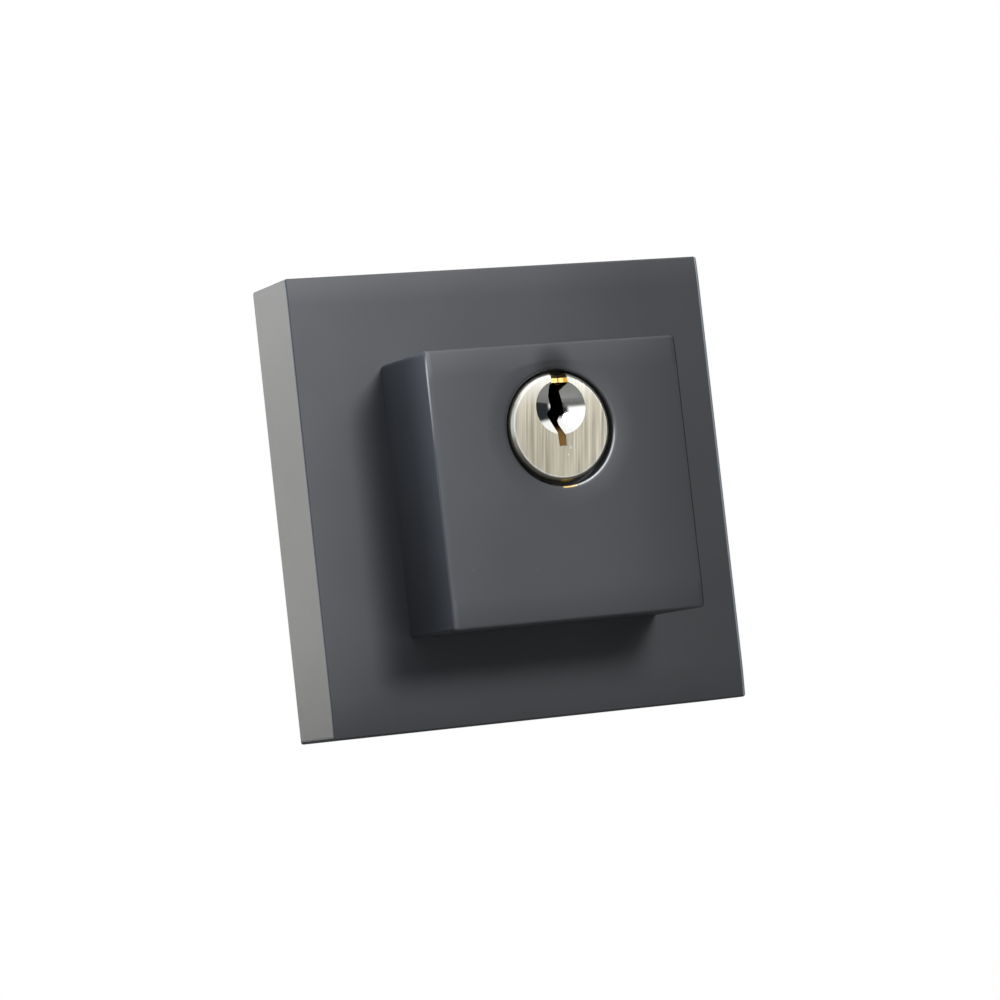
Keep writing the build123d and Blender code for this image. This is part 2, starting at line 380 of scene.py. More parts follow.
def paintLeftSideLight(tree, color, x, z, look, depth):  # painted light: the left side is made lighter toward the top
    onSide = spread(tree, x, 1, 0, look["leftSide"], look["leftSide"] + depth)
    paintedLight = times(tree, onSide, spread(tree, z, *look["leftPaintedLight"], *look["leftPaintedLightHeights"]))
    grow = tree.nodes.new("ShaderNodeVectorMath")
    grow.operation = "SCALE"
    link(tree, color, grow.inputs[0])
    link(tree, calc(tree, "ADD", paintedLight, 1), grow.inputs["Scale"])
    return grow.outputs[0]


# a brass spot on the hole's rim, with painted highlights and painted shade round the hole and down the left edge
def paintBlockRim(tree, color, place, rimPaint):
    x, y, z = axes(tree, place)
    radius = fromAxis(tree, x, calc(tree, "ADD", z, rimPaint["holeDrop"]))
    onRim = spread(tree, radius, 1, 0, *rimPaint["rimFromTo"])
    spot = times(tree, near(tree, place, rimPaint["brassSpot"], *rimPaint["brassReach"]), onRim)
    color = tint(tree, spot, color, rimPaint["brassTone"])
    # painted highlight on the rim, low on the right
    inFront = spread(tree, y, rimPaint["rimHighlightShare"], 0, *rimPaint["rimHighlightDepth"])
    rimHighlight = times(tree, near(tree, place, rimPaint["rimHighlightSpot"], *rimPaint["rimHighlightReach"]), onRim, inFront)
    color = tint(tree, rimHighlight, color, rimPaint["rimHighlightTone"])
    # painted shade above the hole
    above = near(tree, place, rimPaint["shadeAboveHole"], *rimPaint["shadeAboveReach"])
    color = tint(tree, times(tree, above, rimPaint["shadeAboveShare"]), color, (0, 0, 0))
    # painted highlight down the left front edge
    edge = times(tree, spread(tree, x, 1, 0, *rimPaint["edgeAcross"]), spread(tree, y, 1, 0, *rimPaint["edgeDepth"]))
    highlightFade = calc(tree, "POWER", spread(tree, z, 0, 1, *rimPaint["edgeHeight"]), rimPaint["edgeHighlightFade"])
    return tint(tree, times(tree, edge, highlightFade), color, rimPaint["edgeHighlightTone"])


def graphiteCoat(name, settings, look, rimPaint=None):
    grey = look["grey"]
    mat, tree, shader, place = startMaterial(name, (grey, grey, grey), settings["metallic"], settings["roughness"])
    brushLevel(tree, shader, settings)
    cloud = noise(tree, place, settings["cloudScale"])
    grain = noise(tree, place, *settings["grain"])
    x, _, z = axes(tree, place)
    dark, light = [tuple(grey * share * c for c in settings["hue"]) for share in settings["darkAndLight"]]
    color = tint(tree, spread(tree, cloud, 0, 1), dark, light)
    specks = noise(tree, place, settings["speckScale"], 1, shift=settings["speckShift"])
    color = tint(tree, spread(tree, specks, 0, settings["speckShare"], *settings["speckFromTo"]),
                 color, settings["speckTone"])
    # painted shade, darker to the right
    color = tint(tree, spread(tree, x, 0, settings["rightPaintedShade"], *settings["rightPaintedShadeFromTo"]), color, (0, 0, 0))
    # painted light and shade on the left sides
    color = paintLeftSideLight(tree, color, x, z, look, settings["sideDepth"])
    if rimPaint:
        color = paintBlockRim(tree, color, place, rimPaint)
    # a painted line along the right front edge: a highlight on the rosette, shade on the block
    line = times(tree, band(tree, x, *look["paintedEdgeLine"], settings["paintedLineSoft"]), look["paintedLineShare"])
    color = tint(tree, line, color, look["paintedLineTone"])
    # painted shade toward the lower left corner
    if "cornerPaintedShade" in look:
        down = spread(tree, z, 1, 0, *look["cornerHeight"])
        aside = spread(tree, x, 1, look["cornerLeast"], *look["cornerAcross"])
        color = tint(tree, times(tree, down, aside, look["cornerPaintedShade"]), color, (0, 0, 0))
    dress(tree, shader, color, spread(tree, grain, *settings["roughFromTo"]), grain, settings["grainHeight"])
    return mat


# The plug's face, brushed upright
nickelSet = {
    "base": (0.7, 0.66, 0.55),
    "roughness": 0.35,
    "roughFromTo": (0.31, 0.41),
    "brushTurn": -7,  # degrees
    "fine": (3900, 4, (1, 1, 0.022)),  # scale, detail and stretch
    "wide": (1500, 2, (1, 1, 0.05), (0.01, 0, 0.03)),  # and the shift
    "fineShare": 0.65,
    "wideShare": 0.35,
    "markFromTo": (0.36, 0.64),
    "markHeight": 0.000008,
    "dark": (0.68, 0.625, 0.485),
    "light": (0.9, 0.84, 0.67),
    # painted highlight: the face lighter toward its top
    "topHighlightHeight": (0.0032, 0.0062),
    "topHighlightShare": 0.85,
    "topHighlightTone": (1, 0.985, 0.91),
    # painted shade: the face darker toward its left
    "leftShadeFromTo": (-0.0058, 0),
    "leftShadeShare": 0.2,
    "bevel": (0.00736, 0.00744),  # painted shade on the head's bevel, low down
    "bevelHeight": (-0.005, -0.001),
    "bevelShadeShare": 0.6,
    "bevelShadeTone": (0.03, 0.03, 0.025),
    "faceEdgeHighlight": (0.00716, 0.00738, 0.00005),  # painted highlight all round the face's edge
    "whiteSpots": (((0.0012, -0.0294, -0.0031), 0.00022), ((0.0007, -0.0294, -0.0041), 0.00015)),  # small white spots on the face: place and reach
    "whiteSpotSoft": 0.00008,
    "brightShare": 0.8,
    "brightTone": (1, 0.99, 0.94),
    "lean": -3.3,  # bump per square of the height: the top of the face leans back
}


def brushedNickel(settings):
    mat, tree, shader, whole = startMaterial("brushedNickel", settings["base"], 1.0, settings["roughness"])
    place = turned(tree, whole, settings["brushTurn"])
    streak = noise(tree, place, *settings["fine"])
    wide = noise(tree, place, *settings["wide"])
    mark = calc(tree, "ADD", times(tree, streak, settings["fineShare"]), times(tree, wide, settings["wideShare"]))
    color = tint(tree, spread(tree, mark, 0, 1, *settings["markFromTo"]), settings["dark"], settings["light"])
    x, _, z = axes(tree, whole)
    # painted highlight toward the top of the face
    color = tint(tree, spread(tree, z, 0, settings["topHighlightShare"], *settings["topHighlightHeight"]), color, settings["topHighlightTone"])
    # painted shade toward the left of the face
    color = tint(tree, spread(tree, x, settings["leftShadeShare"], 0, *settings["leftShadeFromTo"]), color, (0, 0, 0))
    radius = fromAxis(tree, x, z)
    # painted shade on the bevel, low down
    under = times(tree, spread(tree, radius, 0, 1, *settings["bevel"]),
                  spread(tree, z, settings["bevelShadeShare"], 0, *settings["bevelHeight"]))
    color = tint(tree, under, color, settings["bevelShadeTone"])
    # painted highlight round the face's edge
    bright = band(tree, radius, *settings["faceEdgeHighlight"])
    for spot, reach in settings["whiteSpots"]:
        bright = calc(tree, "MAXIMUM", bright, near(tree, whole, spot, reach, settings["whiteSpotSoft"]))
    color = tint(tree, times(tree, bright, settings["brightShare"]), color, settings["brightTone"])
    lean = times(tree, calc(tree, "POWER", calc(tree, "MAXIMUM", z, 0), 2), settings["lean"])
    height = calc(tree, "ADD", times(tree, mark, settings["markHeight"]), lean)
    dress(tree, shader, color, spread(tree, streak, *settings["roughFromTo"]), height)
    return mat


# The dish and the cut brass of the keyway
dishSet = {
    "base": (0.88, 0.87, 0.82),
    "dark": (0.84, 0.83, 0.78),
    "light": (0.9, 0.89, 0.84),
    "roughness": 0.07,
    "roughFromTo": (0.05, 0.11),
    "cloud": (900, 2),
}
keywaySet = {
    "base": (0.72, 0.5, 0.22),
    "roughness": 0.36,
    "roughFromTo": (0.28, 0.46),
    "drag": (2600, 3, (1, 0.08, 1)),  # scale, detail and stretch of the cutter's marks
    "dragHeight": 0.00001,
    "dark": (0.5, 0.33, 0.13),
    "light": (0.78, 0.56, 0.26),
    "deepShadeFromTo": (-0.0287, -0.0266),  # painted shade, black further in
    "greaseTone": (0.03, 0.022, 0.015),
    # painted shade over all the keyway's walls
    "wallShadeShare": 0.8,
    "wallShadeTone": (0.012, 0.01, 0.008),
    "notch": (0.0063, 0.00708, 0.00008),  # the ledge that the key rubs bright
    "notchLine": (0.0007, 0.00088, 0.00005),
    "notchTone": (1, 0.72, 0.25),
    # the low end of the keyway: brass, painted lighter as if lit, and less metallic to take more light
    "lowEnd": (-0.0031, -0.0003, 0.0005),
    "lowTone": (1, 0.76, 0.4),
    "lowMetallic": 0.3,
    "lowEndFade": (0.5, 1, -0.0289, -0.0279),  # less right at the front edge
}


def polishedDish(settings):
    mat, tree, shader, place = startMaterial("polishedDish", settings["base"], 1.0, settings["roughness"])
    cloud = noise(tree, place, *settings["cloud"])
    color = tint(tree, spread(tree, cloud, 0, 1), settings["dark"], settings["light"])
    dress(tree, shader, color, spread(tree, cloud, *settings["roughFromTo"]))
    return mat


def cutBrass(settings):
    mat, tree, shader, place = startMaterial("cutBrass", settings["base"], 1.0, settings["roughness"])
    drag = noise(tree, place, *settings["drag"])
    x, y, z = axes(tree, place)
    # painted shade, darker deeper in the keyway
    grease = spread(tree, y, 0, 1, *settings["deepShadeFromTo"], "SMOOTHSTEP")
    clean = tint(tree, spread(tree, drag, 0, 1), settings["dark"], settings["light"])
    color = tint(tree, grease, clean, settings["greaseTone"])
    # painted shade over all the walls
    color = tint(tree, settings["wallShadeShare"], color, settings["wallShadeTone"])
    # a thin dark line across the ledge keeps the painted shade
    line = band(tree, x, *settings["notchLine"])
    notch = times(tree, band(tree, z, *settings["notch"]), calc(tree, "SUBTRACT", 1, line))
    color = tint(tree, notch, color, settings["notchTone"])
    # painted light at the keyway's low end
    lowEnd = band(tree, z, *settings["lowEnd"])
    color = tint(tree, times(tree, lowEnd, spread(tree, y, *settings["lowEndFade"])), color, settings["lowTone"])
    tree.links.new(spread(tree, lowEnd, 1, settings["lowMetallic"], 0, 1), shader.inputs["Metallic"])
    dress(tree, shader, color, spread(tree, drag, *settings["roughFromTo"]), drag, settings["dragHeight"])
    return mat


# Turned, plated and rubber finishes
turningSet = {"scale": 9000, "detail": 2, "height": 0.000004, "cloudScale": 420}
platingSet = {"cloudScale": 240, "fine": (3000, 2), "share": 0.5, "fromTo": (0.35, 0.65), "height": 0.000005}
foamSet = {
    "base": (0.02, 0.02, 0.02),
    "dark": (0.012, 0.012, 0.013),
    "light": (0.035, 0.035, 0.036),
    "roughness": 0.85,
    "cells": (3500, 3),
    "height": 0.00006,
}


def turningLines(tree, place, settings):
    x, y, z = axes(tree, place)
    node = tree.nodes.new("ShaderNodeTexNoise")
    node.noise_dimensions = "1D"
    node.inputs["Scale"].default_value = settings["scale"]
    node.inputs["Detail"].default_value = settings["detail"]
    tree.links.new(calc(tree, "ADD", fromAxis(tree, x, z), y), node.inputs["W"])
    return node.outputs["Fac"]


def turnedMetal(name, dark, light, smooth, rough):
    mat, tree, shader, place = startMaterial(name, light, 1.0, rough)
    rings = turningLines(tree, place, turningSet)
    color = tint(tree, spread(tree, noise(tree, place, turningSet["cloudScale"]), 0, 1), dark, light)
    dress(tree, shader, color, spread(tree, rings, smooth, rough), rings, turningSet["height"])
    return mat


def platedMetal(name, dark, light, smooth=0.28, rough=0.46):
    mat, tree, shader, place = startMaterial(name, light, 1.0, rough)
    cloud = noise(tree, place, platingSet["cloudScale"])
    fine = noise(tree, place, *platingSet["fine"])
    color = tint(tree, spread(tree, cloud, 0, 1), dark, light)
    both = calc(tree, "ADD", times(tree, cloud, platingSet["share"]), times(tree, fine, platingSet["share"]))
    dress(tree, shader, color, spread(tree, both, smooth, rough, *platingSet["fromTo"]), fine, platingSet["height"])
    return mat


def sealFoam(settings):
    mat, tree, shader, place = startMaterial("sealFoam", settings["base"], 0.0, settings["roughness"])
    cells = noise(tree, place, *settings["cells"])
    color = tint(tree, spread(tree, cells, 0, 1), settings["dark"], settings["light"])
    dress(tree, shader, color, height=cells, distance=settings["height"])
    return mat


coat = graphiteCoat("graphiteCoat", coatSet, rosetteLook)
# the block's coat carries painted highlights and painted shade
blockPaintedCoat = graphiteCoat("graphiteCoatBlockPaintedLight", coatSet, blockLook, rimPaintSet)
face = brushedNickel(nickelSet)
plugSide = turnedMetal("turnedNickel", (0.6, 0.59, 0.54), (0.74, 0.73, 0.68), 0.16, 0.3)
dish = polishedDish(dishSet)
brassWall = cutBrass(keywaySet)
brass = turnedMetal("turnedBrass", (0.68, 0.47, 0.19), (0.86, 0.66, 0.33), 0.24, 0.38)
zinc = platedMetal("zincPlate", (0.5, 0.51, 0.52), (0.68, 0.68, 0.66))
screwZinc = platedMetal("screwSteel", (0.46, 0.45, 0.4), (0.66, 0.65, 0.58))
pinMetal = platedMetal("pinNickel", (0.62, 0.55, 0.4), (0.8, 0.74, 0.58), 0.2, 0.32)
springMetal = platedMetal("springSteel", (0.5, 0.5, 0.5), (0.66, 0.66, 0.66), 0.2, 0.34)
foam = sealFoam(foamSet)
finishes = {
    "satin_graphite": coat,
    "brushed_nickel": plugSide,
    "turned_brass": brass,
    "zinc_steel": zinc,
    "screw_steel": screwZinc,
    "pin_nickel": pinMetal,
    "spring_steel": springMetal,
    "seal_rubber": foam,
}
for part in frame["record"]["subparts"]:
    item = nodes[part["node"]]
    item.data.materials.clear()
    item.data.materials.append(finishes[part["material_slot"]])
print("finishes on")

# Shapes, in millimetres. Two ends or edges count as one place within these distances.
sameLine, samePlace, sameVert = 1e-5, 1e-4, 1e-3
past = 2  # how far a cutting tool reaches past what it cuts
cornerSteps = 6
holeSteps = 40


def box(low, high):
    bm = bmesh.new()
    bmesh.ops.create_cube(bm, size=1)
    bmesh.ops.scale(bm, verts=bm.verts, vec=[b - a for a, b in zip(low, high)])
    bmesh.ops.translate(bm, verts=bm.verts, vec=[(a + b) / 2 for a, b in zip(low, high)])
    return bm


def roundEdges(bm, edges, radius, segments):
    bmesh.ops.bevel(bm, geom=edges, offset=radius, offset_type="OFFSET", affect="EDGES",
                    segments=segments, profile=0.5, material=-1, clamp_overlap=True)


def edgesAlong(bm, axis):
    others = [i for i in range(3) if i != axis]
    return [e for e in bm.edges
            if all(abs(e.verts[0].co[i] - e.verts[1].co[i]) < sameLine for i in others)]


def edgesAt(bm, axis, place):
    return [e for e in bm.edges if all(abs(v.co[axis] - place) < samePlace for v in e.verts)]


def shift(bm, x=0, y=0, z=0):
    bmesh.ops.translate(bm, verts=bm.verts, vec=(x, y, z))


def rotate(bm, angle, axis):
    bmesh.ops.rotate(bm, verts=bm.verts, cent=(0, 0, 0), matrix=Matrix.Rotation(angle, 3, axis))


def cutPlane(bm, place, normal, clearOuter=False):
    bmesh.ops.bisect_plane(bm, geom=bm.verts[:] + bm.edges[:] + bm.faces[:], plane_co=place, plane_no=normal,
                           clear_outer=clearOuter)


def addLine(bm, points):
    verts = [bm.verts.new(point) for point in points]
    return verts + [bm.edges.new(pair) for pair in zip(verts, verts[1:])]


def lathe(profile, steps, center=(0, 0)):
    bm = bmesh.new()
    line = addLine(bm, [(radius, y, 0) for radius, y in profile])
    bmesh.ops.spin(bm, geom=line, cent=(0, 0, 0), axis=(0, 1, 0), angle=2 * math.pi, steps=steps, use_merge=True)
    bmesh.ops.remove_doubles(bm, verts=bm.verts, dist=sameLine)
    bmesh.ops.recalc_face_normals(bm, faces=bm.faces)
    shift(bm, center[0], 0, center[1])
    return bm


def rod(radius, front, back, center=(0, 0), steps=64):
    return lathe([(0, front), (radius, front), (radius, back), (0, back)], steps, center)


def prism(outline, front, back):
    bm = bmesh.new()
    flat = bm.faces.new([bm.verts.new((x, front, z)) for x, z in outline])
    grown = bmesh.ops.extrude_face_region(bm, geom=[flat])["geom"]
    moved = [v for v in grown if isinstance(v, bmesh.types.BMVert)]
    bmesh.ops.translate(bm, verts=moved, vec=(0, back - front, 0))
    bmesh.ops.recalc_face_normals(bm, faces=bm.faces)
    return bm


def roundSquare(side, corner, front, back, drop):
    half = side / 2
    bm = box((-half, front, -drop - half), (half, back, -drop + half))
    roundEdges(bm, edgesAlong(bm, 1), corner, cornerSteps)
    return bm


def paintAll(bm, slot):
    for f in bm.faces:
        f.material_index = slot
    return bm


def asObject(name, bm, mats):
    mesh = bpy.data.meshes.new(name)
    bm.to_mesh(mesh)
    bm.free()
    for mat in mats:
        mesh.materials.append(mat)
    item = bpy.data.objects.new(name, mesh)
    bpy.context.collection.objects.link(item)
    return item


def carve(bm, tools, mats=(), operation="DIFFERENCE"):
    body = asObject("rough", bm, mats)
    others = [asObject("tool", tool, mats) for tool in tools]
    for other in others:
        cut = body.modifiers.new("cut", "BOOLEAN")
        cut.operation = operation
        cut.solver = "EXACT"
        cut.object = other
    depsgraph = bpy.context.evaluated_depsgraph_get()
    mesh = bpy.data.meshes.new_from_object(body.evaluated_get(depsgraph))
    result = bmesh.new()
    result.from_mesh(mesh)
    for item in [body] + others:
        bpy.data.objects.remove(item)
    bpy.data.meshes.remove(mesh)
    bmesh.ops.remove_doubles(result, verts=result.verts, dist=samePlace)
    return result


def finishPiece(name, bm, body, mats, replaced, sharp=32):  # edges sharper than so many degrees stay sharp
    bmesh.ops.scale(bm, verts=bm.verts, vec=(mm, mm, mm))
    for f in bm.faces:
        f.smooth = True
    for e in bm.edges:
        if len(e.link_faces) == 2:
            kinds = {f.material_index for f in e.link_faces}
            e.smooth = len(kinds) == 1 and e.calc_face_angle(0) < math.radians(sharp)
    item = asObject(name, bm, mats)
    shading = item.modifiers.new("flatFacesStayFlat", "WEIGHTED_NORMAL")
    shading.keep_sharp = True
    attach(item, body)
    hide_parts(*replaced)
    return item


# Rosette and block are cast, polished and coated. Polishing rolls their fronts off a little toward the edges.
castingSet = {
    "drop": 7.75,  # how far the middle of both lies below the plug's axis
    "rimSteps": 4,
    "rollSteps": 9,
    "rollDepth": 1,  # only this much of the front is rolled off
    "screwOffset": 14.3,
    "collarRadius": 9.95,
    "collarSteps": 96,
    "housingWidth": 9.1,
    "housingReach": 15.95,
}
screwPlaces = [(x, z * castingSet["screwOffset"] - castingSet["drop"])
               for x in (-castingSet["screwOffset"], castingSet["screwOffset"]) for z in (-1, 1)]


def rollOff(bm, side, front, rolls, settings):
    middle = (0, 0, -settings["drop"])
    steps = settings["rollSteps"]
    for axis, way, width, depth in rolls:
        edge = middle[axis] + way * side / 2
        normal = (1, 0, 0) if axis == 0 else (0, 0, 1)
        for i in range(1, steps + 1):
            cutPlane(bm, [c * (edge - way * width * i / steps) for c in normal], normal)
    for v in bm.verts:
        sunk = 0
        for axis, way, width, depth in rolls:
            share = max(0, 1 - abs(middle[axis] + way * side / 2 - v.co[axis]) / width)
            sunk += depth * share ** 2
        if v.co.y < front + settings["rollDepth"]:
            v.co.y += sunk


def makeCasting(piece, back, settings):
    bm = roundSquare(piece["side"], piece["corner"], piece["front"], back, settings["drop"])
    roundEdges(bm, edgesAt(bm, 1, piece["front"]), piece["rim"], settings["rimSteps"])
    rollOff(bm, piece["side"], piece["front"], piece["rolls"], settings)
    return bm


def windowTools(front, back, settings):
    half = settings["housingWidth"] / 2
    return [rod(settings["collarRadius"], front, back, steps=settings["collarSteps"]),
            box((-half, front, -settings["housingReach"]), (half, back, 0))]


def screwHoles(radius, front, back):
    return [rod(radius, front, back, place, holeSteps) for place in screwPlaces]


rosetteSet = {
    "side": 66.7,
    "corner": 0.4,
    "rim": 0.28,
    "rolls": [(2, 1, 4.2, 0.2), (2, -1, 6.0, 0.26)],  # axis and way, then the width and depth of the roll-off
    "front": -13.3,
    "pocketSide": 58.7,
    "pocketFront": -10.3,
    "pocketCorner": 2.0,
    "pocketFillet": 0.4,
    "filletSteps": 3,
    "sealCorner": 0.8,
    "sealInset": 1.25,
    "sealWidth": 1.5,
    "sealDepth": 1.3,
    "screwHole": 2.0,
}


def makeRosette(settings, casting):
    front, floor, drop = settings["front"], settings["pocketFront"], casting["drop"]
    body = makeCasting(settings, 0, casting)
    pocket = roundSquare(settings["pocketSide"], settings["pocketCorner"], floor, past, drop)
    roundEdges(pocket, edgesAt(pocket, 1, floor), settings["pocketFillet"], settings["filletSteps"])
    outer = settings["side"] - 2 * settings["sealInset"]
    inner = outer - 2 * settings["sealWidth"]
    corner, depth = settings["sealCorner"], settings["sealDepth"]
    island = roundSquare(inner, corner, -depth - past, 2 * past, drop)
    groove = carve(roundSquare(outer, corner, -depth, past, drop), [island])
    tools = [pocket, groove] + windowTools(front - past, floor + past, casting)
    return carve(body, tools + screwHoles(settings["screwHole"], front - past, floor + past))


finishPiece("rosetteCasting", makeRosette(rosetteSet, castingSet), "housing", [coat], ["rosette"])

blockSet = {
    "side": 39.8,
    "corner": 0.4,
    "rim": 0.24,
    "rolls": [(2, 1, 4.2, 0.2), (2, -1, 4.2, 0.2), (0, -1, 9.0, 0.05), (0, 1, 9.0, 0.12)],
    "front": -29.3,
    "back": -13.3,
    "ringHole": 8.4,
    "ringDrop": 0.15,  # the hole sits a hair low, so its gap is wider below the plug
    "ringFloor": -26.7,
    "ringSteps": 160,
    "rimRound": 0.19,
    "rimProfile": [(0.6, 0.16), (0.3, 0.38), (0.1, 0.68), (0, 1.05)],  # out and back, as shares of rimRound
    "dip": (3.2, 0.1),  # width and depth of the shallow dip that polishing left round the hole
    "dipSteps": 8,
    "dipStart": (1.1, 1.01, 0.002),  # the tool's outside and foot, as shares of the width, and how far in front
    "lipHole": 7.96,
    "lipSteps": 128,
    "pocketFront": -26.1,
    "screwHole": 1.78,
    "screwHoleEnd": -23.3,
}


def makeBlock(settings, casting):
    body = makeCasting(settings, settings["back"], casting)
    front, hole, soft, floor = [settings[key] for key in ("front", "ringHole", "rimRound", "ringFloor")]
    width, depth = settings["dip"]
    outside, foot, ahead = settings["dipStart"]
    edge, steps = hole + soft, settings["dipSteps"]
    profile = [(0, front - past), (edge + width * outside, front - past), (edge + width * foot, front - ahead)]
    profile += [(edge + width * (1 - i / steps), front + depth * (i / steps) ** 2) for i in range(1, steps + 1)]
    profile += [(hole + soft * out, front + depth + soft * back) for out, back in settings["rimProfile"]]
    ring = lathe(profile + [(hole, floor), (0, floor)], settings["ringSteps"], (0, -settings["ringDrop"]))
    pocket, back = settings["pocketFront"], settings["back"] + past
    tools = [ring, rod(settings["lipHole"], floor - past, pocket + past, steps=settings["lipSteps"])]
    tools += windowTools(pocket, back, casting)
    return carve(body, tools + screwHoles(settings["screwHole"], settings["screwHoleEnd"], back))


finishPiece("blockCasting", makeBlock(blockSet, castingSet), "housing", [blockPaintedCoat],
            ["cylinder_block"])
print("rosette and block made")

# Plug: turned, its face brushed upright, a polished dish round the keyway, and brass where it is cut
plugSet = {
    "headRadius": 7.92,
    "steps": 192,
    "face": -29.4,
    "rimChamfer": 0.62,
    "rimProfile": [(1, 0), (0.62, 0.3), (0.26, 0.68), (0, 1.2)],  # in and back, as shares of rimChamfer
    "facePaint": 1.1,
    "headRing": 1.5,  # the side of the head is divided here, so its shading stays even
    "headBack": -26.1,
    "bodyRadius": 6.5,
    "shoulder": -1.05,
    "spigotRadius": 4.4,
    "end": 2.5,
    "dishRadius": 3.9,
    "dishDepth": 0.8,
    "dishCenter": (0.32, 2.76),
    "dishWiden": 1.12,
    "dishSteps": (26, 128),
    "keywayLength": 27.0,
    "keyway": [(-0.72, 8.3), (-0.72, 6.3), (-1.05, 6.1), (-1.25, 4.5), (-0.97, 3.0), (-1.2, 2.5), (-1.75, 2.05),
               (-1.6, 1.5), (-1.1, 0.4), (-0.6, -0.75), (-0.52, -2.8), (0.6, -2.8), (0.66, -1.35), (0.4, -0.75),
               (-0.08, 0.25), (-0.18, 0.9), (0.15, 1.45), (1.05, 1.8), (0.98, 3.25), (0.85, 4.0), (0.55, 5.15),
               (1.4, 5.85), (1.75, 6.05), (1.8, 6.3), (1.8, 8.3)],
    "ledgeLow": (-0.8, 1.0, 6.42),  # the key's shoulder stops here; the middle figures count from the face
    "ledgeHigh": (1.9, 3.0, 7.06),
    "ledgeLean": (0.04, -0.05),  # its front's top goes back and its right side forward
    "pinPlaces": [-22.2, -18.24, -14.28, -10.32, -6.36],
    "pinHole": 1.5,
    "pinHoleSpan": (-8.3, 1.15),
    "pinHoleSteps": 32,
    "capPinHole": 0.74,
    "capPinHoleSteps": 24,
    "capPinOffset": 5.3,
    "capPinHoleEnd": -6.7,
    "tongueSlot": (1.7, 6.45, 0.45),  # width, height, and where it ends
}


def uprightRod(radius, low, high, y, steps):
    bm = rod(radius, low, high, steps=steps)
    rotate(bm, math.pi / 2, "X")
    shift(bm, y=y)
    return bm


def makeDishTool(settings):
    front, depth, radius = settings["face"], settings["dishDepth"], settings["dishRadius"]
    ball = (radius ** 2 + depth ** 2) / (2 * depth)
    widest = math.asin(radius / ball) * settings["dishWiden"]
    count, steps = settings["dishSteps"]
    angles = [widest * i / count for i in range(count + 1)]
    arc = [(ball * math.sin(a), front + depth - ball * (1 - math.cos(a))) for a in angles]
    return lathe(arc + [(arc[-1][0], front - past), (0, front - past)], steps, settings["dishCenter"])


def makeLedge(settings):
    face, (x, y, z), (farX, farY, farZ) = settings["face"], settings["ledgeLow"], settings["ledgeHigh"]
    up, aside = settings["ledgeLean"]
    bm = box((x, face + y, z), (farX, face + farY, farZ))
    for v in bm.verts:
        if v.co.y < face + (y + farY) / 2:
            v.co.y += up * (v.co.z > (z + farZ) / 2) + aside * (v.co.x > 0)
    return bm


def makePlug(settings, mats):
    front, edge, head, end = [settings[key] for key in ("face", "rimChamfer", "headRadius", "end")]
    neck, inner, step = settings["bodyRadius"], settings["spigotRadius"], settings["shoulder"]
    rim = [(head - edge * inward, front + edge * back) for inward, back in settings["rimProfile"]]
    profile = [(0, front)] + rim + [(head, front + settings["headRing"]), (head, settings["headBack"])]
    profile += [(neck, settings["headBack"]), (neck, step), (inner, step), (inner, end), (0, end)]
    body = lathe(profile, settings["steps"])
    for f in body.faces:
        f.material_index = 0 if f.calc_center_median().y < front + edge * settings["facePaint"] else 1
    width, height, slotEnd = settings["tongueSlot"]
    tools = [paintAll(makeDishTool(settings), 2),
             paintAll(prism(settings["keyway"], front - past, front + settings["keywayLength"]), 3)]
    tools += [uprightRod(settings["pinHole"], *settings["pinHoleSpan"], y, settings["pinHoleSteps"])
              for y in settings["pinPlaces"]]
    tools += [rod(settings["capPinHole"], settings["capPinHoleEnd"], end, (settings["capPinOffset"], 0),
                  settings["capPinHoleSteps"]),
              box((-width / 2, slotEnd, -height / 2), (width / 2, end + past, height / 2))]
    return carve(carve(body, tools, mats), [paintAll(makeLedge(settings), 3)], mats, "UNION")


plugMats = [face, plugSide, dish, brassWall]
finishPiece("plugTurned", makePlug(plugSet, plugMats), "plug", plugMats, ["plug"])
print("plug made")

# Threads are wound from one tooth, cut off flat at both ends and filled
threadSet = {
    "steps": 24,
    "tooth": [(0, 0), (1, 0.38), (1, 0.5), (0, 0.88), (0, 1)],  # out, as a share of the depth, and along the pitch
}


def threadedRod(minor, major, pitch, front, back, center=(0, 0)):
    bm = bmesh.new()
    steps = threadSet["steps"]
    depth = major - minor
    line = addLine(bm, [(minor + depth * out, front + pitch * (along - 1), 0) for out, along in threadSet["tooth"]])
    turns = math.ceil((back - front) / pitch) + 2
    bmesh.ops.spin(bm, geom=line, cent=(0, 0, 0), axis=(0, 1, 0), dvec=(0, pitch / steps, 0),
                   angle=2 * math.pi * turns, steps=steps * turns)
    bmesh.ops.remove_doubles(bm, verts=bm.verts, dist=sameVert)
    for place, way in ((front, -1), (back, 1)):
        cutPlane(bm, (0, place, 0), (0, way, 0), True)
    bmesh.ops.edgeloop_fill(bm, edges=[e for e in bm.edges if e.is_boundary])
    bmesh.ops.recalc_face_normals(bm, faces=bm.faces)
    shift(bm, center[0], 0, center[1])
    return bm


# Posts, riveted into the mounting plate; the through-bolts pull on their threads
postSet = {
    "spread": 15.0,
    "radius": 3.5,
    "steps": 72,
    "foot": -10.3,
    "shoulder": -8.1,
    "end": 16.0,
    "tenon": 2.6,
    "tenonEdge": 0.25,
    "shoulderEdge": 0.15,
    "endProfile": [(0, 0.5), (0.15, 0.15), (0.5, 0)],  # in from the radius and back from the end
    "boreEnd": -2.0,
    "thread": (1.73, 2.08, 0.794),  # inner and outer radius, and pitch
    "threadPast": 0.5,
    "mouthProfile": [(0, 1.6), (1.3, 1.0), (2.3, 0), (2.3, -1), (0, -1)],  # radius, and depth below the end
    "mouthSteps": 48,
}


